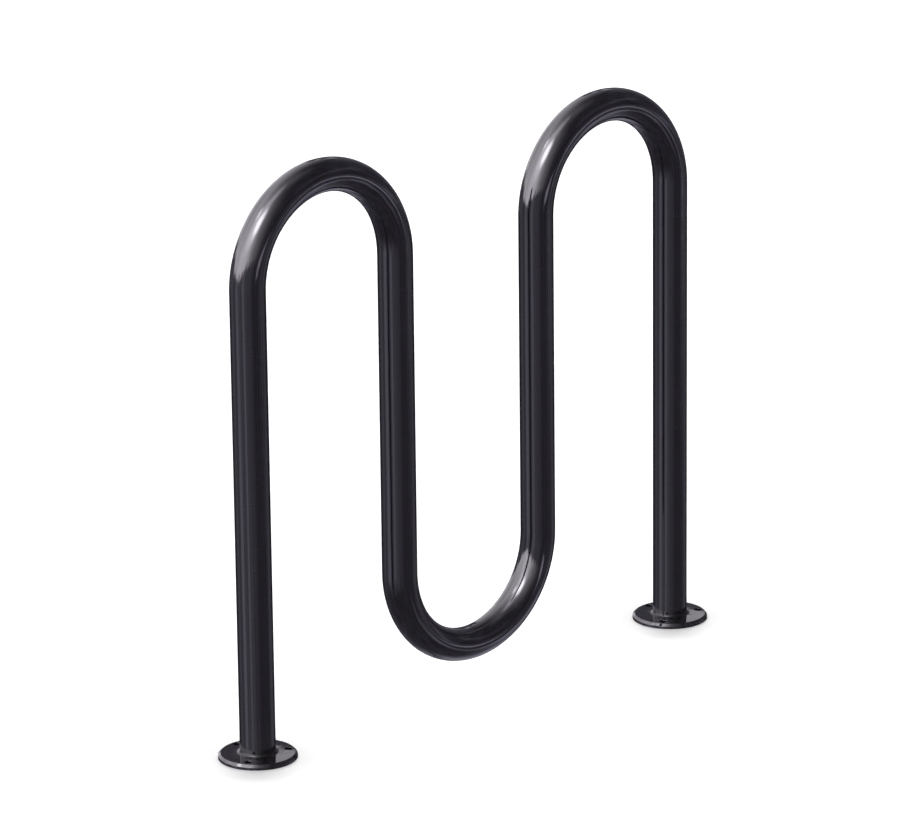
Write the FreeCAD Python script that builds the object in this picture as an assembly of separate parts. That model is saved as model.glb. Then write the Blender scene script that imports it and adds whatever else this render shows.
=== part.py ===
"""Hoop bike rack: one steel pipe bent into a wave and welded to two round base flanges.

Millimetres. The rack stands on the plane z = 0. Its legs are in a row along X, and all of
them lie in the plane y = 0. The origin is on the ground, half way between the flanges.
"""
import FreeCAD, Part
import math
import os

# Pipe: 2 inch nominal steel pipe, schedule 40
pipe_diameter = 60.3
pipe_wall = 3.91

# Wave: each hoop has two legs, all legs are spaced evenly, and low bends join the hoops
hoop_count = 2
leg_spacing = 330.0
overall_height = 996.0
low_bend_clearance = 48.0

# The bore is closed by the flanges and never seen, so it turns each bend in short mitred lengths
bore_steps_per_bend = 12

# Base flanges, with a bevel round the top edge
flange_diameter = 133.0
flange_thickness = 9.5
flange_bevel = 4.0
vent_hole_diameter = 19.0

# Anchor holes, evenly spaced, the first of them square to the rack's own line
anchor_hole_count = 3
anchor_hole_diameter = 13.0
anchor_circle_diameter = 104.0
anchor_first_angle = 90.0

# Fillet weld round the foot of each outer leg, as tall as it is wide
weld_leg = 5.0

up = FreeCAD.Vector(0, 0, 1)

pipe_radius = pipe_diameter / 2
bore_radius = pipe_radius - pipe_wall
bend_radius = leg_spacing / 2
hoop_spring_height = overall_height - pipe_radius - bend_radius
low_bend_spring_height = low_bend_clearance + pipe_radius + bend_radius

leg_count = 2 * hoop_count
leg_places = [(leg - (leg_count - 1) / 2) * leg_spacing for leg in range(leg_count)]
left_foot = leg_places[0]
right_foot = leg_places[-1]


def point(x, z):
    """A point in the plane of the rack."""
    return FreeCAD.Vector(x, 0, z)


def bends():
    """Each bend in turn: its middle, the height where it springs from the legs, and its side.

    The side is +1 for a hoop, which goes over the top, and -1 for a low bend.
    """
    for leg in range(leg_count - 1):
        middle = leg_places[leg] + bend_radius
        if leg % 2 == 0:
            yield middle, hoop_spring_height, 1
        else:
            yield middle, low_bend_spring_height, -1


def pipe_centre_line():
    """Straight legs and half-circle bends, from the top of one flange to the top of the other."""
    edges = []
    here = point(left_foot, flange_thickness)
    for middle, spring, side in bends():
        start = point(middle - bend_radius, spring)
        crown = point(middle, spring + side * bend_radius)
        end = point(middle + bend_radius, spring)
        edges.append(Part.LineSegment(here, start).toShape())
        edges.append(Part.Arc(start, crown, end).toShape())
        here = end
    edges.append(Part.LineSegment(here, point(right_foot, flange_thickness)).toShape())
    return Part.Wire(edges)


def bore_centre_line():
    """The same way round in straight lengths that touch the true bends from outside."""
    half_step = math.pi / bore_steps_per_bend / 2
    corner_radius = bend_radius / math.cos(half_step)
    points = [point(left_foot, flange_thickness)]
    for middle, spring, side in bends():
        for step in range(bore_steps_per_bend):
            turned = (2 * step + 1) * half_step
            x = middle - corner_radius * math.cos(turned)
            z = spring + side * corner_radius * math.sin(turned)
            points.append(point(x, z))
    points.append(point(right_foot, flange_thickness))
    return Part.makePolygon(points)


def round_sweep(path, radius, corner_style):
    """A round bar along a path that starts upright at the left foot.

    Corner style 0 follows a smooth path, and 1 mitres the corners of a path of straight lines.
    """
    start = point(left_foot, flange_thickness)
    profile = Part.Wire(Part.makeCircle(radius, start, up))
    return path.makePipeShell([profile], True, False, corner_style)


def wave_pipe():
    """The bent pipe, open from end to end."""
    outside = round_sweep(pipe_centre_line(), pipe_radius, 0)
    bore = round_sweep(bore_centre_line(), bore_radius, 1)
    return outside.cut(bore)


def turned_ring(corners, x):
    """A full turn of a profile of straight lines about the upright axis of the foot at x."""
    profile = Part.makePolygon(corners + corners[:1])
    ring = Part.Face(profile).revolve(FreeCAD.Vector(0, 0, 0), up, 360)
    ring.translate(point(x, 0))
    return ring


def base_flange(x):
    """The bevelled plate that closes the pipe's end, with its vent hole and anchor holes."""
    inner = vent_hole_diameter / 2
    outer = flange_diameter / 2
    corners = [
        point(inner, 0),
        point(outer, 0),
        point(outer, flange_thickness - flange_bevel),
        point(outer - flange_bevel, flange_thickness),
        point(inner, flange_thickness),
    ]
    plate = turned_ring(corners, x)
    reach = anchor_circle_diameter / 2
    for hole in range(anchor_hole_count):
        angle = math.radians(anchor_first_angle + hole * 360.0 / anchor_hole_count)
        place = FreeCAD.Vector(x + reach * math.cos(angle), reach * math.sin(angle), 0)
        drill = Part.makeCylinder(anchor_hole_diameter / 2, flange_thickness, place, up)
        plate = plate.cut(drill)
    return plate


def base_weld(x):
    """The fillet weld in the corner between pipe and plate."""
    corners = [
        point(pipe_radius, flange_thickness),
        point(pipe_radius + weld_leg, flange_thickness),
        point(pipe_radius, flange_thickness + weld_leg),
    ]
    return turned_ring(corners, x)


pieces = {
    "wave_pipe": wave_pipe(),
    "left_flange": base_flange(left_foot),
    "right_flange": base_flange(right_foot),
    "left_weld": base_weld(left_foot),
    "right_weld": base_weld(right_foot),
}

os.makedirs("parts", exist_ok=True)
for name, shape in pieces.items():
    piece = shape.Solids[0]
    piece.exportStep(os.path.join("parts", name + ".step"))
    box = piece.optimalBoundingBox(False)
    print(name, "volume", round(piece.Volume / 1000, 2), "cm3, valid", piece.isValid())
    print("  x", round(box.XMin, 2), "to", round(box.XMax, 2),
          "  y", round(box.YMin, 2), "to", round(box.YMax, 2),
          "  z", round(box.ZMin, 2), "to", round(box.ZMax, 2))
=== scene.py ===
# %% [markdown]
# # A hoop bike rack in gloss black
#
# The rack is one length of steel pipe, bent cold into two hoops with a low bend between them
# and welded to two round base plates. The whole piece is powder coated, so what the eye reads
# is a dark, glassy skin over simple shapes. All the work is in clean curves and good gloss.
#
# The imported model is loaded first. It fixes every size and place, and the pieces made here
# are laid over its nodes.

# %% Load the frame
import math

import bmesh
import bpy
from mathutils import Matrix, Vector, noise


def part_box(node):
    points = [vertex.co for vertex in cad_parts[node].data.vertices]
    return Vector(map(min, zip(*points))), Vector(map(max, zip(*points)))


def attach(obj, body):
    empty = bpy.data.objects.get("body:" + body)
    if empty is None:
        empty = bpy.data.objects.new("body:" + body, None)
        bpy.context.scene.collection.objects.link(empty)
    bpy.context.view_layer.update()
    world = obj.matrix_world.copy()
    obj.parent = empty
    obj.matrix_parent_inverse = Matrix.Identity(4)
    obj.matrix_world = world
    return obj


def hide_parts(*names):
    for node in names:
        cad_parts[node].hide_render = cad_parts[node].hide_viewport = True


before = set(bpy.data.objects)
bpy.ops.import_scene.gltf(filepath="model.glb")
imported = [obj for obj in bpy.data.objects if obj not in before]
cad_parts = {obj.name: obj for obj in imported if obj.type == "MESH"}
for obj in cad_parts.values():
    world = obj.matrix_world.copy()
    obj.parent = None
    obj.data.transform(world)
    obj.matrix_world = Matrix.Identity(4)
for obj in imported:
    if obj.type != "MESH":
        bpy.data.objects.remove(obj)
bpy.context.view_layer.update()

MM = 0.001

# %% [markdown]
# ## Read the sizes
#
# Nothing is typed twice: the pipe's radius, the spacing of its legs and the plate's thickness
# are all read from the nodes. A box gives most of them. The wall and the underside of the low
# bend are found among the corners of the pipe's mesh.

# %% Sizes from the boxes
pipe_low, pipe_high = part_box("wave_pipe")
plate_low, plate_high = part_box("left_flange")
far_plate_low, far_plate_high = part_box("right_flange")
weld_low, weld_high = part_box("left_weld")

pipe_radius = (pipe_high.y - pipe_low.y) / 2
plate_radius = (plate_high.x - plate_low.x) / 2
plate_top = plate_high.z
weld_leg = weld_high.z - weld_low.z
left_foot = (plate_low.x + plate_high.x) / 2
right_foot = (far_plate_low.x + far_plate_high.x) / 2


def in_mm(length):
    """A length in millimetres, for printing."""
    return round(length / MM, 2)


print("pipe", in_mm(2 * pipe_radius), "plate", in_mm(2 * plate_radius), "weld", in_mm(weld_leg), "mm")


# %% Sizes from the corners
def corners_of(node):
    """The corners of a node's mesh."""
    return [v.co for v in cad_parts[node].data.vertices]


def reach_of(corner):
    """How far a corner lies from the upright axis of the left foot."""
    return math.hypot(corner.x - left_foot, corner.y)


LEG_COUNT = 4
leg_spacing = (right_foot - left_foot) / (LEG_COUNT - 1)
bend_radius = leg_spacing / 2
low_bend_bottom = min(c.z for c in corners_of("wave_pipe") if abs(c.x) < bend_radius)
hoop_spring = pipe_high.z - pipe_radius - bend_radius
low_spring = low_bend_bottom + pipe_radius + bend_radius

foot_ring = [c for c in corners_of("wave_pipe") if c.z < plate_top + MM and c.x < 0]
pipe_wall = pipe_radius - min(reach_of(c) for c in foot_ring)
print("wall", in_mm(pipe_wall), "bends", in_mm(bend_radius), "mm")
print("low bend clears the ground by", in_mm(low_bend_bottom), "mm")

# %% [markdown]
# The plate's own corners give its bevel, the vent hole and the anchor holes. What lies between
# the weld and the bevel belongs to an anchor hole. Sorted by their turn round the plate, these
# corners fall into groups with wide gaps between them, one group for each hole.

# %% Find the holes in the plate
HOLE_SLACK = 1.01
GAP_BETWEEN_HOLES = 15

plate_corners = corners_of("left_flange")
plate_reach = [reach_of(c) for c in plate_corners]
top_reach = [reach_of(c) for c in plate_corners if c.z > plate_top - MM / 10]
vent_radius = min(plate_reach)
plate_bevel = plate_radius - max(top_reach)
band_start = pipe_radius + weld_leg
band_end = plate_radius - plate_bevel - MM
hole_band = [reach for reach in plate_reach if band_start < reach < band_end]
hole_circle = (min(hole_band) + max(hole_band)) / 2
hole_radius = (max(hole_band) - min(hole_band)) / 2

hole_turns = sorted(
    math.degrees(math.atan2(c.y, c.x - left_foot)) % 360
    for c in plate_corners
    if abs(reach_of(c) - hole_circle) < hole_radius * HOLE_SLACK
)
hole_groups = [hole_turns[:1]]
for before, turn in zip(hole_turns, hole_turns[1:]):
    if turn - before > GAP_BETWEEN_HOLES:
        hole_groups.append([])
    hole_groups[-1].append(turn)
hole_angles = [(group[0] + group[-1]) / 2 for group in hole_groups]
print("bevel", in_mm(plate_bevel), "vent", in_mm(2 * vent_radius), "mm")
print("holes", in_mm(2 * hole_radius), "on a circle of", in_mm(2 * hole_circle), "mm at",
      [round(angle, 1) for angle in hole_angles], "degrees")

# %% [markdown]
# ## A few small helpers
#
# Each piece is shaped in a bmesh and handed over as a mesh whose object stays at the origin.
# Sharp corners are marked by angle, so that flats stay flat and curves stay smooth. Modifiers
# that thicken or cut are worked into the mesh at once.

# %% Helpers
SHARP_DEGREES = 40


def put_in_scene(name, data):
    """An object with its data, linked into the scene."""
    made = bpy.data.objects.new(name, data)
    bpy.context.scene.collection.objects.link(made)
    return made


def object_from(bm, name):
    """A bmesh made into an object. The bmesh is used up."""
    mesh = bpy.data.meshes.new(name)
    bm.to_mesh(mesh)
    bm.free()
    return put_in_scene(name, mesh)


def mark_sharp(mesh, degrees=SHARP_DEGREES):
    """Marks the edges where a surface turns by more than an angle."""
    mesh.set_sharp_from_angle(angle=math.radians(degrees))


def bake(piece, modifier):
    """Works a modifier into the piece's own mesh and takes it off."""
    shown = piece.evaluated_get(bpy.context.evaluated_depsgraph_get())
    piece.data = bpy.data.meshes.new_from_object(shown)
    piece.modifiers.remove(modifier)


def finish_piece(bm, name, node, sharp_degrees=SHARP_DEGREES):
    """Turns a bmesh into a piece that stands for a node and rides on the rack."""
    bmesh.ops.recalc_face_normals(bm, faces=bm.faces[:])
    piece = object_from(bm, name)
    piece.data.shade_smooth()
    mark_sharp(piece.data, sharp_degrees)
    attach(piece, "root")
    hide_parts(node)
    return piece


# %% [markdown]
# ## The pipe
#
# The real pipe is drawn round a bending die one bend at a time, with straight pipe between.
# That is how it is made here too: a ring of points is extruded up the leg, spun half a turn
# about the middle of the bend, extruded down, and so on to the other foot. A curve with a
# bevel would be shorter to write, but spinning gives exact half circles that start and stop
# where the bends do.

# %% Extrude and spin a ring along the rack
RING_SIDES = 96
BEND_STEPS = 90


def bend_list():
    """Each bend's middle, spring height and side: +1 over the top, -1 underneath."""
    for leg in range(LEG_COUNT - 1):
        middle = left_foot + (leg + 0.5) * leg_spacing
        yield (middle, hoop_spring, 1) if leg % 2 == 0 else (middle, low_spring, -1)


def ring_parts(geometry):
    """The points and edges among what an operator made."""
    points = [g for g in geometry if isinstance(g, bmesh.types.BMVert)]
    edges = [g for g in geometry if isinstance(g, bmesh.types.BMEdge)]
    return points, edges


def extrude_ring(bm, points, edges, height):
    """Carries the ring straight up or down to a height."""
    if not edges:
        edges = [e for e in points[0].link_edges if e.other_vert(points[0]) in points]
    rise = height - points[0].co.z
    made = bmesh.ops.extrude_edge_only(bm, edges=edges)
    points, edges = ring_parts(made["geom"])
    bmesh.ops.translate(bm, verts=points, vec=(0, 0, rise))
    rim = set(points)
    return points, [e for e in edges if e.verts[0] in rim and e.verts[1] in rim]


bm = bmesh.new()
start = Matrix.Translation((left_foot, 0, pipe_low.z))
ring = bmesh.ops.create_circle(bm, segments=RING_SIDES, radius=pipe_radius, matrix=start)
points, edges = ring["verts"], bm.edges[:]
for middle, spring, side in bend_list():
    points, edges = extrude_ring(bm, points, edges, spring)
    spun = bmesh.ops.spin(bm, geom=points + edges, cent=(middle, 0, spring), axis=(0, 1, 0),
                          angle=side * math.pi, steps=BEND_STEPS)
    points, edges = ring_parts(spun["geom_last"])
points, edges = extrude_ring(bm, points, edges, pipe_low.z)
print("pipe skin:", len(bm.faces), "faces")

# %% [markdown]
# A pipe that is bent cold goes a little oval: it flattens in the plane of the bend and
# spreads across it. The hoops of the real rack look thinner at the crown than at the legs for
# this reason. Each point of a bend is moved towards the centre line by a few percent, easing
# in over the first part of the bend so that the legs stay round.

# %% Let the bends go oval
BEND_FLATTENING = 0.055
BEND_SPREAD = 0.02
EASE_ANGLE = math.radians(38)


def smooth_step(value):
    """Eases a value from 0 to 1 and holds it there."""
    t = min(max(value, 0.0), 1.0)
    return t * t * (3 - 2 * t)


for middle, spring, side in bend_list():
    for v in bm.verts:
        along = v.co.x - middle
        beyond = (v.co.z - spring) * side
        if beyond <= 0 or abs(along) > bend_radius + 2 * pipe_radius:
            continue
        swept = math.atan2(beyond, -along)
        oval = smooth_step(swept / EASE_ANGLE) * smooth_step((math.pi - swept) / EASE_ANGLE)
        reach = math.hypot(along, beyond)
        flat_reach = bend_radius + (reach - bend_radius) * (1 - BEND_FLATTENING * oval)
        v.co.x = middle + along * flat_reach / reach
        v.co.z = spring + side * beyond * flat_reach / reach
        v.co.y *= 1 + BEND_SPREAD * oval

# %% [markdown]
# So far the pipe is a skin without thickness. A solidify modifier gives it the wall. It works
# inwards, so the outside stays where the bends put it, and its normals have to point outwards
# for that.

# %% Give the pipe its wall
pipe = finish_piece(bm, "bent_pipe", "wave_pipe")
first_face = pipe.data.polygons[0]
outward = first_face.normal.dot(first_face.center - Vector((left_foot, 0, pipe_low.z)))
print("pipe normals point", "out" if outward > 0 else "in")

wall = pipe.modifiers.new("wall", "SOLIDIFY")
wall.thickness = pipe_wall
wall.offset = -1
wall.use_even_offset = True
bake(pipe, wall)
mark_sharp(pipe.data)
print("pipe:", len(pipe.data.polygons), "faces")

# %% [markdown]
# ## The base plates
#
# Each plate is a disc of 9.5 mm steel with a bevel turned round its top edge. A turned profile
# gives the disc with the vent hole under the pipe. Every corner of the profile is rounded by a
# small arc, because powder coat never leaves a knife edge.

# %% Turn a profile about the foot
TURN_STEPS = 160
COAT_EDGE = 0.7 * MM
EDGE_STEPS = 4
SAME_POINT = MM / 1000


def turn_profile(bm, profile, steps, closed=True):
    """Spins a profile of (radius, height) pairs a full turn about the Z axis."""
    points = [bm.verts.new((radius, 0, height)) for radius, height in profile]
    ends = points[1:] + points[:1] if closed else points[1:]
    edges = [bm.edges.new(pair) for pair in zip(points, ends)]
    bmesh.ops.spin(bm, geom=points + edges, cent=(0, 0, 0), axis=(0, 0, 1),
                   angle=2 * math.pi, steps=steps, use_merge=True)
    bmesh.ops.remove_doubles(bm, verts=bm.verts[:], dist=SAME_POINT)


def soften(profile, radius, steps):
    """Rounds every corner of a closed profile with a small arc that touches both its sides."""
    made = []
    for before, corner, after in zip(profile[-1:] + profile[:-1], profile, profile[1:] + profile[:1]):
        here = Vector(corner)
        back = (Vector(before) - here).normalized()
        on = (Vector(after) - here).normalized()
        half = math.acos(max(-1.0, min(1.0, back.dot(on)))) / 2
        centre = here + (back + on).normalized() * radius / math.sin(half)
        first = here + back * radius / math.tan(half) - centre
        last = here + on * radius / math.tan(half) - centre
        for step in range(steps + 1):
            arm = first.lerp(last, step / steps).normalized() * radius
            made.append(tuple(centre + arm))
    return made


# %% [markdown]
# The top of a real plate isn't dead flat, and a mirror shows it. So the top falls by 0.6 mm on
# its way from the weld to the bevel, slowly at first.

# %% The plate's section
DOME_DROP = 0.6 * MM
DOME_STEPS = 8


def dome_drop(radius):
    """How far the plate's top falls towards its rim."""
    flat_radius = pipe_radius + weld_leg
    span = plate_radius - plate_bevel - flat_radius
    return DOME_DROP * max(0.0, (radius - flat_radius) / span) ** 2


def plate_profile():
    """The plate's section: vent wall, top, bevel, side and underside."""
    top = [(vent_radius, plate_top)]
    inner, outer = pipe_radius + weld_leg, plate_radius - plate_bevel
    for step in range(DOME_STEPS + 1):
        radius = inner + (outer - inner) * step / DOME_STEPS
        top.append((radius, plate_top - dome_drop(radius)))
    side_top = plate_top - DOME_DROP - plate_bevel
    return [(vent_radius, 0)] + top + [(plate_radius, side_top), (plate_radius, 0)]


print("plate section:", len(plate_profile()), "corners")

# %% [markdown]
# The anchor holes are cut by a boolean, with a drill that is already flared where it leaves
# the plate. That gives each hole the soft lip of a thick coat, which catches the light. Edges
# that are picked out and bevelled after the cut would take more steps for the same lip.

# %% A flared drill
HOLE_STEPS = 48
DRILL_OVERRUN = 2 * MM


def drill_profile():
    """A drill that widens in a small arc where it leaves the top of the plate."""
    surface = plate_top - dome_drop(hole_circle)
    lip = []
    for step in range(EDGE_STEPS + 1):
        turn = math.pi / 2 * step / EDGE_STEPS
        radius = hole_radius + COAT_EDGE * (1 - math.cos(turn))
        lip.append((radius, surface - COAT_EDGE * (1 - math.sin(turn))))
    end = plate_top + DRILL_OVERRUN
    top = lip + [(hole_radius + COAT_EDGE, end), (0, end)]
    return [(0, -DRILL_OVERRUN), (hole_radius, -DRILL_OVERRUN)] + top


def one_drill(angle):
    """The mesh of a drill that stands in the hole at an angle."""
    bm = bmesh.new()
    turn_profile(bm, drill_profile(), HOLE_STEPS, closed=False)
    bmesh.ops.recalc_face_normals(bm, faces=bm.faces[:])
    place = (hole_circle * math.cos(angle), hole_circle * math.sin(angle), 0)
    bmesh.ops.translate(bm, verts=bm.verts[:], vec=place)
    mesh = bpy.data.meshes.new("drill")
    bm.to_mesh(mesh)
    bm.free()
    return mesh


# %% [markdown]
# All drills are gathered in one object, so a single boolean cuts them. The plate is made about
# the origin and moved to its foot last. A weighted normal then keeps the shading of the flats
# from leaning into the rounded edges beside them.

# %% Cut the anchor holes
def drilled_plate(x, name, node):
    """One base plate in its place."""
    bm = bmesh.new()
    turn_profile(bm, soften(plate_profile(), COAT_EDGE, EDGE_STEPS), TURN_STEPS)
    plate = finish_piece(bm, name, node)
    all_drills = bmesh.new()
    for angle in map(math.radians, hole_angles):
        drill = one_drill(angle)
        all_drills.from_mesh(drill)
        bpy.data.meshes.remove(drill)
    drills = object_from(all_drills, "drills")
    cut = plate.modifiers.new("holes", "BOOLEAN")
    cut.operation = "DIFFERENCE"
    cut.solver = "EXACT"
    cut.object = drills
    bake(plate, cut)
    bpy.data.objects.remove(drills)
    plate.data.transform(Matrix.Translation((x, 0, 0)))
    mark_sharp(plate.data)
    weight = plate.modifiers.new("flat_stays_flat", "WEIGHTED_NORMAL")
    weight.keep_sharp = True
    print(name, len(plate.data.polygons), "faces")
    return plate


left_plate = drilled_plate(left_foot, "left_base_plate", "left_flange")
right_plate = drilled_plate(right_foot, "right_base_plate", "right_flange")

# %% [markdown]
# ## The weld beads
#
# The bead is laid as a row of overlapping puddles, which show as fine scales that lean one
# way round the pipe. Its face is a little hollow from the pipe down to the plate. A turned
# profile gives that body, and each of its points is then pushed out by a wave that runs round
# the pipe and curves back at the toes, as a puddle does.

# %% The bead's body
BEAD_POINTS = 9
BEAD_HOLLOW = 1.3 * MM
BEAD_SINK = 0.3 * MM


def bead_profile():
    """The bead's section: its hollow face from the pipe down to the plate, and the corner."""
    face = []
    for step in range(BEAD_POINTS):
        t = step / (BEAD_POINTS - 1)
        hollow = BEAD_HOLLOW * math.sin(math.pi * t) * math.sqrt(0.5)
        face.append((pipe_radius + weld_leg * t - hollow, plate_top + weld_leg * (1 - t) - hollow))
    return face + [(pipe_radius, plate_top - BEAD_SINK)]


print("bead section:", len(bead_profile()), "corners")

# %% [markdown]
# The scales aren't all alike. Noise makes each of them a little early or late, and each bead
# starts at its own place in that noise.

# %% Lay the beads
SCALE_COUNT = 46
STEPS_PER_SCALE = 8
SCALE_HEIGHT = 0.10 * MM
SCALE_CURL = 0.9
SCALE_FALL = 1.5
TOE_FADE = 4
WANDER_SHARE = 0.35
WANDER_REACH = 3
NOISE_TURN = 6.283
AT_THE_PIPE = 0.01
BEAD_SHARP_DEGREES = 70


def scale_lift(turn, across, bead_start):
    """How far a point of the face rises, by its turns round the pipe and its place across."""
    angle = turn * NOISE_TURN
    spot = Vector((math.cos(angle) * WANDER_REACH, math.sin(angle) * WANDER_REACH, bead_start))
    curl = SCALE_CURL * (2 * across - 1) ** 2
    phase = (turn * SCALE_COUNT + curl + WANDER_SHARE * noise.noise(spot)) % 1.0
    edge_fade = max(0.0, 1 - (2 * across - 1) ** TOE_FADE)
    return SCALE_HEIGHT * (1 - phase) ** SCALE_FALL * edge_fade


def weld_bead(x, name, node, bead_start):
    """One bead with its scales, started at its own place in the noise."""
    bm = bmesh.new()
    turn_profile(bm, bead_profile(), SCALE_COUNT * STEPS_PER_SCALE)
    slope = Vector((1, 1)).normalized()
    for v in bm.verts:
        reach = math.hypot(v.co.x, v.co.y)
        across = (reach - pipe_radius) / weld_leg
        if across < AT_THE_PIPE and v.co.z < plate_top + weld_leg / 2:
            continue
        lift = scale_lift(math.atan2(v.co.y, v.co.x) / (2 * math.pi), across, bead_start)
        v.co.x += v.co.x / reach * lift * slope.x
        v.co.y += v.co.y / reach * lift * slope.x
        v.co.z += lift * slope.y
    bmesh.ops.translate(bm, verts=bm.verts[:], vec=(x, 0, 0))
    return finish_piece(bm, name, node, BEAD_SHARP_DEGREES)


left_bead = weld_bead(left_foot, "left_weld_bead", "left_weld", 1.0)
right_bead = weld_bead(right_foot, "right_weld_bead", "right_weld", 4.0)
print("beads:", len(left_bead.data.polygons), "faces each")

# %% [markdown]
# ## Helpers for materials
#
# Materials are small networks of nodes. One helper adds a node with its settings, one does
# sums, one maps a value from one range to another, and one starts a group with named sockets,
# so that an effect is made once and shared.


# %% Helpers for nodes
def feed(tree, socket, value):
    """Gives a socket its value, or another socket to follow."""
    if isinstance(value, bpy.types.NodeSocket):
        tree.links.new(value, socket)
    else:
        socket.default_value = value


def add(tree, kind, **settings):
    """A node with its settings, some of them named after the inputs that they feed."""
    node = tree.nodes.new(kind)
    for key, value in settings.items():
        if hasattr(node, key):
            setattr(node, key, value)
        else:
            feed(tree, node.inputs[key], value)
    return node


def maths(tree, operation, *values):
    """A maths node on sockets or plain numbers."""
    node = add(tree, "ShaderNodeMath", operation=operation)
    for socket, value in zip(node.inputs, values):
        feed(tree, socket, value)
    return node.outputs[0]


def ramp(tree, value, low, high, to_low=0.0, to_high=1.0):
    """Maps a value smoothly from one range to another and clamps it."""
    node = add(tree, "ShaderNodeMapRange", interpolation_type="SMOOTHSTEP", Value=value)
    ends = {"From Min": low, "From Max": high, "To Min": to_low, "To Max": to_high}
    for label, number in ends.items():
        node.inputs[label].default_value = number
    return node.outputs["Result"]


def here_in(tree):
    """The place of a point in the object's own coordinates."""
    return add(tree, "ShaderNodeTexCoord").outputs["Object"]


def new_group(name, inputs, output, output_kind="NodeSocketFloat"):
    """A node group with numbers going in and one socket coming out, and its inner ends."""
    group = bpy.data.node_groups.new(name, "ShaderNodeTree")
    for label, value in inputs.items():
        socket = group.interface.new_socket(label, in_out="INPUT", socket_type="NodeSocketFloat")
        socket.default_value = value
    group.interface.new_socket(output, in_out="OUTPUT", socket_type=output_kind)
    return group, group.nodes.new("NodeGroupInput"), group.nodes.new("NodeGroupOutput")


# %% [markdown]
# ## The powder coat
#
# Powder coat is a plastic that melts and flows in an oven. It keeps a fine orange peel, and a
# longer, lazy waviness that breaks up the edge of whatever it reflects. Both are bumps, made
# once in a group and used by every coat with its own depth. Real bumps of this size would
# need millions of faces.

# %% Orange peel
PEEL_ROUGHNESS = 0.5
WAVE_DETAIL = 1.0
PEEL_DETAIL = 2.0

peel_group, peel_in, peel_out = new_group(
    "orange_peel",
    {"Peel Size": 2.5, "Peel Depth": 0.02, "Wave Size": 30.0, "Wave Depth": 0.3},
    "Normal", "NodeSocketVector",
)
peel_place = here_in(peel_group)


def bump_layer(kind, detail):
    """A bump of noise whose grain size and depth are in millimetres."""
    scale = maths(peel_group, "DIVIDE", 1 / MM, peel_in.outputs[kind + " Size"])
    grain = add(peel_group, "ShaderNodeTexNoise", Vector=peel_place, Scale=scale,
                Detail=detail, Roughness=PEEL_ROUGHNESS)
    depth = maths(peel_group, "MULTIPLY", peel_in.outputs[kind + " Depth"], MM)
    return add(peel_group, "ShaderNodeBump", Height=grain.outputs["Fac"], Distance=depth, Strength=1.0)


waves = bump_layer("Wave", WAVE_DETAIL)
peel = bump_layer("Peel", PEEL_DETAIL)
peel_group.links.new(waves.outputs["Normal"], peel.inputs["Normal"])
peel_group.links.new(peel.outputs["Normal"], peel_out.inputs["Normal"])
print("orange peel:", len(peel_group.nodes), "nodes")

# %% [markdown]
# A rack lives on the street. Frames and locks leave short hairlines on the legs, and dust
# settles near the ground. Both are faint on a rack as new as this one, but without them the
# coat looks like a rendering of a coat. A hairline is noise that is squeezed until only thin
# threads of it pass a high threshold, and it shows only in clusters, between two heights.

# %% Hairlines
LINE_STRETCH = (55, 55, 900)
LINE_LEAN = (0.18, 0.1, 0)
LINE_CUT = (0.68, 0.74)
CLUSTER_SCALE = 14.0
CLUSTER_CUT = (0.52, 0.66)

mark_group, mark_in, mark_out = new_group(
    "hairline_marks", {"Amount": 0.5, "Low": 0.25, "High": 0.75}, "Mask"
)
mark_place = here_in(mark_group)
squeezed = add(mark_group, "ShaderNodeMapping", Vector=mark_place,
               Scale=LINE_STRETCH, Rotation=LINE_LEAN)
lines = add(mark_group, "ShaderNodeTexNoise", Vector=squeezed.outputs["Vector"],
            Scale=1.0, Detail=1.0)
clusters = add(mark_group, "ShaderNodeTexNoise", Vector=mark_place,
               Scale=CLUSTER_SCALE, Detail=2.0)
thin = ramp(mark_group, lines.outputs["Fac"], *LINE_CUT)
gathered = ramp(mark_group, clusters.outputs["Fac"], *CLUSTER_CUT)
mark_height = add(mark_group, "ShaderNodeSeparateXYZ", Vector=mark_place).outputs["Z"]
above = maths(mark_group, "GREATER_THAN", mark_height, mark_in.outputs["Low"])
below = maths(mark_group, "LESS_THAN", mark_height, mark_in.outputs["High"])
zone = maths(mark_group, "MULTIPLY", above, below)
mask = maths(mark_group, "MULTIPLY", maths(mark_group, "MULTIPLY", thin, gathered), zone)
mask = maths(mark_group, "MULTIPLY", mask, mark_in.outputs["Amount"])
mark_group.links.new(mask, mark_out.inputs["Mask"])
print("hairlines:", len(mark_group.nodes), "nodes")

# %% [markdown]
# Dust is thickest at the ground and thins out upwards until it ends at its reach. Noise
# breaks it into specks.

# %% Dust
SPECK_SCALE = 260.0
SPECK_ROUGHNESS = 0.65
SPECK_CUT = (0.35, 0.75)

dust_group, dust_in, dust_out = new_group("settled_dust", {"Amount": 0.3, "Reach": 0.05}, "Mask")
dust_place = here_in(dust_group)
dust_height = add(dust_group, "ShaderNodeSeparateXYZ", Vector=dust_place).outputs["Z"]
share_of_reach = maths(dust_group, "DIVIDE", dust_height, dust_in.outputs["Reach"])
near_ground = maths(dust_group, "SUBTRACT", 1.0, share_of_reach)
specks = add(dust_group, "ShaderNodeTexNoise", Vector=dust_place, Scale=SPECK_SCALE,
             Detail=4.0, Roughness=SPECK_ROUGHNESS)
speckled = ramp(dust_group, specks.outputs["Fac"], *SPECK_CUT)
settled = maths(dust_group, "MULTIPLY", maths(dust_group, "MAXIMUM", near_ground, 0.0), speckled)
settled = maths(dust_group, "MULTIPLY", settled, dust_in.outputs["Amount"])
dust_group.links.new(settled, dust_out.inputs["Mask"])
print("dust:", len(dust_group.nodes), "nodes")

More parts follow.
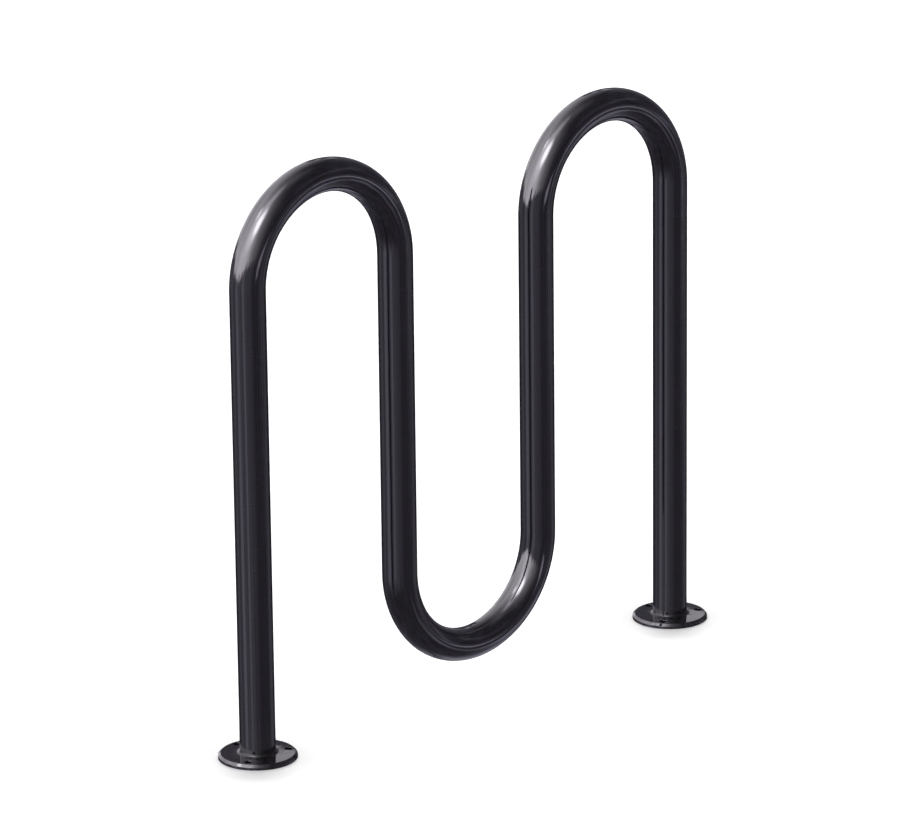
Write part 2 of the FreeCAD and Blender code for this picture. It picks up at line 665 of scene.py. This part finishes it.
# %% [markdown]
# The coat itself is one shader: nearly black with a breath of violet, glossy, and never quite
# even. Roughness wanders a little over the surface, the hairlines are duller than the rest,
# and dust lightens the colour where it lies.

# %% The coat's colours
COAT_DARK = (0.0060, 0.0052, 0.0078, 1)
COAT_LIGHT = (0.0102, 0.0089, 0.0128, 1)
MARK_COLOUR = (0.06, 0.058, 0.062, 1)
DUST_COLOUR = (0.17, 0.155, 0.135, 1)

# A mix node has sockets for every kind of value, and these are the ones for colours
FIRST_COLOUR = 6
SECOND_COLOUR = 7
MIXED_COLOUR = 2


def mix_colour(tree, factor, first, second):
    """Blends two colours, either of which may be a socket."""
    node = add(tree, "ShaderNodeMix", data_type="RGBA", Factor=factor)
    feed(tree, node.inputs[FIRST_COLOUR], first)
    feed(tree, node.inputs[SECOND_COLOUR], second)
    return node.outputs[MIXED_COLOUR]


def use_group(tree, group, **values):
    """Places a group in a material with its own values."""
    node = add(tree, "ShaderNodeGroup", node_tree=group)
    for label, value in values.items():
        node.inputs[label.replace("_", " ").title()].default_value = value
    return node


# %% One coat
COAT_IOR = 1.5
FULL_SHINE = 0.5
CLOUD_SCALE = 9.0
CLOUD_CUT = (0.3, 0.7)
GLOSS_SPREAD = 0.25
MARK_DULLING = 0.3
DUST_DULLING = 0.6


def coat(name, gloss, peel_values, mark_values, dust_values, shine=FULL_SHINE):
    """A gloss black powder coat with its own peel, marks, dust and strength of mirroring."""
    material = bpy.data.materials.new(name)
    material.use_nodes = True
    tree = material.node_tree
    shader = tree.nodes["Principled BSDF"]
    shader.inputs["IOR"].default_value = COAT_IOR
    shader.inputs["Specular IOR Level"].default_value = shine
    cloud = add(tree, "ShaderNodeTexNoise", Vector=here_in(tree), Scale=CLOUD_SCALE, Detail=3.0)
    marks = use_group(tree, mark_group, **mark_values).outputs["Mask"]
    dust = use_group(tree, dust_group, **dust_values).outputs["Mask"]
    base = mix_colour(tree, cloud.outputs["Fac"], COAT_DARK, COAT_LIGHT)
    marked = mix_colour(tree, marks, base, MARK_COLOUR)
    tree.links.new(mix_colour(tree, dust, marked, DUST_COLOUR), shader.inputs["Base Color"])
    smoothest, dullest = gloss * (1 - GLOSS_SPREAD), gloss * (1 + GLOSS_SPREAD)
    even = ramp(tree, cloud.outputs["Fac"], *CLOUD_CUT, smoothest, dullest)
    dulled = maths(tree, "ADD", even, maths(tree, "MULTIPLY", marks, MARK_DULLING))
    dusty = maths(tree, "ADD", dulled, maths(tree, "MULTIPLY", dust, DUST_DULLING))
    tree.links.new(dusty, shader.inputs["Roughness"])
    skin = use_group(tree, peel_group, **peel_values)
    tree.links.new(skin.outputs["Normal"], shader.inputs["Normal"])
    return material


# %% [markdown]
# The three coats come from one gun and one oven. The flat plates come out smoothest, and on
# the small beads the peel is finer and deeper. The coat of the beads also mirrors less, because
# a real bead shows no bright ring at the foot of the pipe.

# %% Coats for pipe, plates and beads
pipe_coat = coat(
    "pipe_coat_black", 0.10,
    dict(peel_size=2.6, peel_depth=0.010, wave_size=26.0, wave_depth=0.22),
    dict(amount=0.35, low=0.25, high=0.97),
    dict(amount=0.08, reach=0.09),
)
flange_coat = coat(
    "flange_coat_black", 0.05,
    dict(peel_size=2.4, peel_depth=0.012, wave_size=20.0, wave_depth=0.12),
    dict(amount=0.5, low=-0.01, high=0.02),
    dict(amount=0.12, reach=0.03),
)
weld_coat = coat(
    "weld_coat_black", 0.13,
    dict(peel_size=2.0, peel_depth=0.02, wave_size=8.0, wave_depth=0.08),
    dict(amount=0.0, low=0.0, high=0.01),
    dict(amount=0.12, reach=0.04),
    shine=0.18,
)
coated = (
    (pipe, pipe_coat),
    (left_plate, flange_coat),
    (right_plate, flange_coat),
    (left_bead, weld_coat),
    (right_bead, weld_coat),
)
for piece, material in coated:
    piece.data.materials.clear()
    piece.data.materials.append(material)
    print(piece.name, "wears", material.name)

# %% [markdown]
# ## Floor and backdrop
#
# The rack stands on white. The floor is a white diffuse disc with a little light of its own,
# seen only directly, that lifts it to plain white. Close to the feet there is less of that
# light, so the soft shadow in front of each plate stays. Farther out there is more of it, and
# that is painted light: it washes out the fainter shadows of the rest of the rack, such as the
# one under the low bend. Beyond the floor the world is white too, so no edge shows from any
# side.


# %% White for the eye, plain light for the rest
def seen_directly(tree):
    """1 for rays that see the background: from the camera, in gloss and through glass."""
    path = tree.nodes.new("ShaderNodeLightPath")
    both = maths(tree, "MAXIMUM", path.outputs["Is Camera Ray"], path.outputs["Is Glossy Ray"])
    return maths(tree, "MAXIMUM", both, path.outputs["Is Transmission Ray"])


def bare_material(name):
    """A material with no nodes in it yet."""
    material = bpy.data.materials.new(name)
    material.use_nodes = True
    material.node_tree.nodes.clear()
    return material


def end_with_sum(tree, first, second):
    """Ends a material with two shaders added up."""
    both = add(tree, "ShaderNodeAddShader")
    tree.links.new(first.outputs[0], both.inputs[0])
    tree.links.new(second.outputs[0], both.inputs[1])
    add(tree, "ShaderNodeOutputMaterial", Surface=both.outputs[0])


# %% The floor
FLOOR_RADIUS = 40.0
FLOOR_SIDES = 128
FLOOR_COLOUR = (0.90, 0.90, 0.90, 1)
LIFT_AT_FEET = 0.16
LIFT_BEYOND = 0.44
LIFT_START = 1.2 * plate_radius
LIFT_END = 2.3 * plate_radius

bm = bmesh.new()
bmesh.ops.create_circle(bm, cap_ends=True, segments=FLOOR_SIDES, radius=FLOOR_RADIUS)
floor = object_from(bm, "floor")
floor.visible_glossy = False

floor_paint = bare_material("floor_white")
floor_tree = floor_paint.node_tree
floor_place = here_in(floor_tree)
foot_distances = []
for foot in (left_foot, right_foot):
    span = add(floor_tree, "ShaderNodeVectorMath", operation="DISTANCE")
    floor_tree.links.new(floor_place, span.inputs[0])
    span.inputs[1].default_value = (foot, 0, 0)
    foot_distances.append(span.outputs["Value"])
nearest = maths(floor_tree, "MINIMUM", *foot_distances)
# Painted light: the floor's glow is weak near the feet and strong farther out, where it washes out the
# rack's fainter shadows
lift_level = ramp(floor_tree, nearest, LIFT_START, LIFT_END, LIFT_AT_FEET, LIFT_BEYOND)
lift_seen = maths(floor_tree, "MULTIPLY", seen_directly(floor_tree), lift_level)
diffuse = add(floor_tree, "ShaderNodeBsdfDiffuse", Color=FLOOR_COLOUR)
lift = add(floor_tree, "ShaderNodeEmission", Strength=lift_seen)
end_with_sum(floor_tree, diffuse, lift)
floor.data.materials.append(floor_paint)
print("floor lift starts", in_mm(LIFT_START), "and is full", in_mm(LIFT_END), "mm from a foot")

# %% The world
WORLD_LIGHT = 0.60

world = bpy.data.worlds.new("white_world")
bpy.context.scene.world = world
world.use_nodes = True
backdrop = world.node_tree.nodes["Background"]
backdrop.inputs["Color"].default_value = (1, 1, 1, 1)
level = maths(world.node_tree, "MAXIMUM", seen_directly(world.node_tree), WORLD_LIGHT)
world.node_tree.links.new(level, backdrop.inputs["Strength"])
print("world light", WORLD_LIGHT)

# %% [markdown]
# ## What the gloss sees
#
# A gloss black pipe shows almost nothing of its own. What is seen is the open air round it,
# bent and squeezed: a bright sky with the sun's glow on the left, a ragged line of trees,
# darker ground. A photographer would hang panels in a tent to get the same. This tent is a
# large sphere that only gloss can see. Everything on it is placed by compass direction and
# by rise above the horizon, both in degrees.

# %% The tent
TENT_RADIUS = 40.0
TENT_SIDES = 64
TENT_RINGS = 32

bm = bmesh.new()
bmesh.ops.create_uvsphere(bm, u_segments=TENT_SIDES, v_segments=TENT_RINGS, radius=TENT_RADIUS)
tent = object_from(bm, "light_tent")
for kind in ("camera", "diffuse", "transmission", "volume_scatter", "shadow"):
    setattr(tent, "visible_" + kind, False)

tent_cloth = bare_material("tent_cloth")
tent_tree = tent_cloth.node_tree
unit_length = add(tent_tree, "ShaderNodeVectorMath", operation="NORMALIZE")
tent_tree.links.new(here_in(tent_tree), unit_length.inputs[0])
aim = unit_length.outputs["Vector"]
axes = add(tent_tree, "ShaderNodeSeparateXYZ", Vector=aim).outputs
compass = maths(tent_tree, "DEGREES", maths(tent_tree, "ARCTAN2", axes["Y"], axes["X"]))
rise = maths(tent_tree, "DEGREES", maths(tent_tree, "ARCSINE", axes["Z"]))
print("tent of", TENT_RADIUS, "m with", len(tent.data.polygons), "faces")

# %% [markdown]
# Lights on the tent are added up, multiplied, and dimmed where something stands before them.
# A few helpers make such sums short to write.


# %% Sums of light
def chain(operation, parts):
    """Several sockets or numbers joined by one operation, from first to last."""
    result = parts[0]
    for part in parts[1:]:
        result = maths(tent_tree, operation, result, part)
    return result


def total_of(*parts):
    """The sum of several sockets or numbers."""
    return chain("ADD", parts)


def product_of(*parts):
    """The product of several sockets or numbers."""
    return chain("MULTIPLY", parts)


def at_least(value, least):
    """A value that never falls below a number."""
    return maths(tent_tree, "MAXIMUM", value, least)


def dimmed(light, share):
    """A light with a share of it taken away."""
    return product_of(light, maths(tent_tree, "SUBTRACT", 1.0, share))


# %% [markdown]
# Three shapes are enough to paint with: a band that stands upright in one compass direction,
# a round patch, and a row at one height all round. Each of them is given by its middle, by
# where it starts and ends to fade in degrees from the middle, and by its light.

# %% Bands, patches, rows and noise
CLOTH_ROUGHNESS = 0.65
HALF_TURN = 180.0


def band(direction, fade_start, fade_end, light):
    """Light that fades from one compass direction to both sides."""
    difference = maths(tent_tree, "SUBTRACT", compass, float(direction))
    wrapped = maths(tent_tree, "WRAP", difference, HALF_TURN, -HALF_TURN)
    away = maths(tent_tree, "ABSOLUTE", wrapped)
    return ramp(tent_tree, away, fade_start, fade_end, light, 0.0)


def toward(direction, height):
    """The direction that a compass direction and a rise point to."""
    turn, lift_angle = math.radians(direction), math.radians(height)
    return (
        math.cos(turn) * math.cos(lift_angle),
        math.sin(turn) * math.cos(lift_angle),
        math.sin(lift_angle),
    )


def patch(direction, height, fade_start, fade_end, light):
    """A round patch of light about one direction."""
    facing_it = add(tent_tree, "ShaderNodeVectorMath", operation="DOT_PRODUCT")
    tent_tree.links.new(aim, facing_it.inputs[0])
    facing_it.inputs[1].default_value = toward(direction, height)
    away = maths(tent_tree, "DEGREES", maths(tent_tree, "ARCCOSINE", facing_it.outputs["Value"]))
    return ramp(tent_tree, away, fade_start, fade_end, light, 0.0)


def row(level, height, fade_start, fade_end, light):
    """A row of light all round, at one height of a given level."""
    from_row = maths(tent_tree, "ABSOLUTE", maths(tent_tree, "SUBTRACT", level, float(height)))
    return ramp(tent_tree, from_row, fade_start, fade_end, light, 0.0)


def wavering(value, strength, across, along, detail):
    """A value pushed up and down by noise, which is drawn out upright where along is small."""
    squeeze = add(tent_tree, "ShaderNodeMapping", Vector=aim, Scale=(across, across, along))
    grain = add(tent_tree, "ShaderNodeTexNoise", Vector=squeeze.outputs["Vector"], Scale=1.0,
                Detail=detail, Roughness=CLOTH_ROUGHNESS)
    push = maths(tent_tree, "SUBTRACT", grain.outputs["Fac"], 0.5)
    return total_of(value, product_of(push, strength))


# %% [markdown]
# The sky is brightest towards the sun, fades round to both sides and dims overhead. Thin haze
# takes a little of it away low down, ahead and to the left. The tree line hides its foot:
# noise that is drawn out upright gives the teeth that can be made out at the lower end of
# each highlight.

# %% Sky above the tree line
TREE_LINE = ((-140, 12, 50, 8.0), (100, 14, 30, 3.0), (64, 10, 24, -6.0))
TREE_TEETH = dict(strength=26.0, across=7.0, along=1.5, detail=5.0)
TREE_EDGE = 4.0
SKY_BANDS = ((150, 0, 130, 5.2), (182, 3, 50, 3.0))
HAZE = (95, 18, 12, 30, 0.30)
DIMS_FROM = 46
DIMS_UNTIL = 80
LEFT_OVERHEAD = 0.16

skyline = wavering(total_of(*[band(*spec) for spec in TREE_LINE]), **TREE_TEETH)
above_trees = ramp(tent_tree, maths(tent_tree, "SUBTRACT", rise, skyline), 0.0, TREE_EDGE)
overhead = ramp(tent_tree, rise, DIMS_FROM, DIMS_UNTIL, 1.0, LEFT_OVERHEAD)
open_sky = dimmed(total_of(*[band(*spec) for spec in SKY_BANDS]), patch(*HAZE))
open_sky = product_of(open_sky, overhead, above_trees)

# %% [markdown]
# The sun's glow is laid over the sky in round patches, small bright ones on wide faint ones,
# and drawn up towards the zenith. The bends mirror it as the hot spots of their highlights,
# with a tail that runs on over the crown.

# %% The sun's glow
GLOW_PATCHES = (
    (194, 49, 5, 17, 14.5),
    (182, 44, 3, 28, 4.0),
    (149, 53, 1, 8, 10.0),
    (160, 64, 1, 6, 1.2),
    (180, 73, 2, 19, 2.4),
)
ZENITH_START = 58
ZENITH = 90
ZENITH_LIGHT = 1.0

glow = [patch(*spec) for spec in GLOW_PATCHES]
zenith_glow = ramp(tent_tree, rise, ZENITH_START, ZENITH, 0.0, ZENITH_LIGHT)
sky_light = total_of(open_sky, *glow, zenith_glow)
print("sky:", len(SKY_BANDS), "bands and", len(GLOW_PATCHES), "patches of glow")

# %% [markdown]
# The tops of the base plates mirror one small part of the far side. A grove stands there, and
# light comes through two gaps between its trunks, one for each plate. The pipe's own mirrored
# foot divides each plate, so the right of it shows the gap and the left of it the trunk.

# %% The grove behind the rack
GROVE = (45.5, 6.5, 8.5, 1.0)
GROVE_TOP = 24.5
GROVE_EDGE = 2
LEAVES = dict(strength=0.9, across=150.0, along=60.0, detail=2.0)
GAP_LIGHT = 1.2
GAP_EDGE = 0.25
# Each gap has its band on the compass, and the rise where it opens
GAPS = (
    ((47.4, 1.2, 1.6, 1.0), 20.1),
    ((40.6, 2.4, 2.7, 1.0), 18.4),
)

ragged_rise = wavering(rise, **LEAVES)
grove = product_of(band(*GROVE), ramp(tent_tree, rise, GROVE_TOP, GROVE_TOP + GROVE_EDGE, 1.0, 0.0))
openings = [
    product_of(band(*between), ramp(tent_tree, ragged_rise, foot, foot + GAP_EDGE))
    for between, foot in GAPS
]
through_grove = product_of(total_of(*openings), GAP_LIGHT, grove)
sky_light = total_of(dimmed(sky_light, grove), through_grove)
print("grove:", len(GAPS), "gaps")

# %% [markdown]
# Below the tree line lies the ground. The legs see only a narrow belt of it, and upright
# streaks in that belt become the long fine lines along the legs. The belt is lightest on the
# left. The rest of the ground is dim, with two patches of paler ground farther down.

# %% Ground and the belt that the legs see
BELT_BANDS = ((158, 2, 13, 0.60), (196, 3, 16, 0.35), (178, 10, 105, 0.56))
BELT_SHADE = (136, 3, 14, 0.5)
BELT_FOOT = -38
BELT_FULL = -17
STREAKS = dict(strength=3.4, across=8.0, along=0.4, detail=3.0)
LEAST_STREAK = 0.2
GROUND_LIGHT = 0.21
PALE_GROUND = ((26, -50, 6, 34, 0.6), (-18, -32, 4, 24, 0.4))
GROUND_SPOTS = dict(strength=2.4, across=6.0, along=6.0, detail=4.0)

streaks = at_least(wavering(1.0, **STREAKS), LEAST_STREAK)
belt = dimmed(total_of(*[band(*spec) for spec in BELT_BANDS]), band(*BELT_SHADE))
belt = product_of(belt, ramp(tent_tree, rise, BELT_FOOT, BELT_FULL), streaks)
spots = at_least(wavering(1.0, **GROUND_SPOTS), 0.0)
pale_ground = product_of(total_of(*[patch(*spec) for spec in PALE_GROUND]), spots)
low_light = total_of(belt, pale_ground, product_of(streaks, GROUND_LIGHT))

# %% [markdown]
# A dark hedge runs along the far side below the tree line. On the right, four wavering rows
# and two small bright posts break up what would be an even shade, as walls and fences along a
# street do. Whatever of the pipe faces right mirrors them.

# %% Hedge, rows and posts
HEDGE = (50, 36, 62, 0.88)
HEDGE_FOOT = (-45, -20)
HEDGE_TOP = (-14, -8)
ROWS = ((25, 1, 6, 0.35), (-2, 1.5, 5, 0.45), (-14, 1, 3, 0.3), (-29, 2, 6, 0.9))
ROW_WAVES = dict(strength=26.0, across=9.0, along=9.0, detail=4.0)
ROW_BREAKS = dict(strength=5.0, across=6.0, along=9.0, detail=3.0)
ROW_LIGHT = 0.9
LEAST_ROW = 0.1
ROWS_LIE = (-42, 16, 36, 1.0)
GROVE_SHADE = 0.5
# Each post is a band on the compass where it crosses a row
POSTS = (
    ((-46, 2, 7, 2.2), (-10.5, 1.5, 3.5, 1.0)),
    ((-79, 5, 12, 2.6), (-5.5, 2, 4.5, 1.0)),
)

below_trees = maths(tent_tree, "SUBTRACT", 1.0, above_trees)
hedge_foot = ramp(tent_tree, rise, *HEDGE_FOOT)
hedge_top = ramp(tent_tree, rise, *HEDGE_TOP, 1.0, 0.0)
hedge = product_of(band(*HEDGE), hedge_foot, hedge_top, below_trees)
wavy_rise = wavering(rise, **ROW_WAVES)
broken = at_least(wavering(ROW_LIGHT, **ROW_BREAKS), LEAST_ROW)
rows = product_of(total_of(*[row(wavy_rise, *spec) for spec in ROWS]), broken, band(*ROWS_LIE))
posts = total_of(*[product_of(band(*across), row(rise, *level)) for across, level in POSTS])
low_light = total_of(dimmed(low_light, hedge), rows, posts)
low_light = dimmed(low_light, product_of(grove, GROVE_SHADE))
print("tent cloth:", len(tent_tree.nodes), "nodes so far")

# %% [markdown]
# Shade under trees is tinted by the blue sky, while the bright sky itself is nearly white.
# The two lights keep their own colours.

# %% Light the cloth
SHADE_COLOUR = (0.955, 0.91, 1.135, 1)
SKY_COLOUR = (1.0, 0.965, 1.035, 1)

sky_glow = add(tent_tree, "ShaderNodeEmission", Color=SKY_COLOUR, Strength=sky_light)
low_glow = add(tent_tree, "ShaderNodeEmission", Color=SHADE_COLOUR, Strength=low_light)
end_with_sum(tent_tree, sky_glow, low_glow)
tent.data.materials.append(tent_cloth)

# %% [markdown]
# ## Lamp
#
# One very soft lamp behind the rack gives the floor its even light, and the faint shadow in
# front of each plate. A sun lamp lights the whole floor alike, so that the white has no
# gradient. The tent takes its place in the gloss, so the lamp itself isn't mirrored.

# %% A soft sun behind the rack
SUN_COMPASS = 46.0
SUN_RISE = 18.0
SUN_SOFTNESS = 60.0
SUN_POWER = 3.8
SUN_DISTANCE = 5

sun_data = bpy.data.lights.new("soft_sun", "SUN")
sun_data.angle = math.radians(SUN_SOFTNESS)
sun_data.energy = SUN_POWER
sun = put_in_scene("soft_sun", sun_data)
toward_sun = Vector(toward(SUN_COMPASS, SUN_RISE))
sun.location = toward_sun * SUN_DISTANCE
sun.rotation_mode = "QUATERNION"
sun.rotation_quaternion = toward_sun.to_track_quat("Z", "Y")
sun.visible_glossy = False
print("sun of", SUN_POWER, "at a rise of", SUN_RISE, "degrees")

# %% [markdown]
# ## Camera
#
# A long lens from the front left, a little above the hoops. The distance, direction and
# slight roll were found by laying the rack's outline over the photograph's.

# %% Camera
CAMERA_COMPASS = -43.92
CAMERA_RISE = 16.89
CAMERA_ROLL = -0.67
CAMERA_DISTANCE = 9.34
LENS_PIXELS = 5500.0
IMAGE_WIDTH = 900
SENSOR_WIDTH = 36.0
AIM_HEIGHT = 0.45
AIM_RIGHT = -0.0312
AIM_UP = 0.036

swing, rise_angle, roll = (math.radians(a) for a in (CAMERA_COMPASS, CAMERA_RISE, CAMERA_ROLL))
back = Vector((
    math.sin(swing) * math.cos(rise_angle),
    -math.cos(swing) * math.cos(rise_angle),
    math.sin(rise_angle),
))
level_right = Vector((math.cos(swing), math.sin(swing), 0))
level_up = back.cross(level_right)
right = level_right * math.cos(roll) + level_up * math.sin(roll)
top = level_up * math.cos(roll) - level_right * math.sin(roll)

lens = bpy.data.cameras.new("camera")
lens.sensor_width = SENSOR_WIDTH
lens.lens = LENS_PIXELS * lens.sensor_width / IMAGE_WIDTH
camera = put_in_scene("camera", lens)
camera_place = Vector((0, 0, AIM_HEIGHT)) + right * AIM_RIGHT + top * AIM_UP + back * CAMERA_DISTANCE
facing = Matrix((right, top, back)).transposed().to_4x4()
camera.matrix_world = Matrix.Translation(camera_place) @ facing
bpy.context.scene.camera = camera
bpy.context.scene.view_settings.view_transform = "Standard"
print("lens of", round(lens.lens), "mm at", [round(part, 2) for part in camera_place], "m")
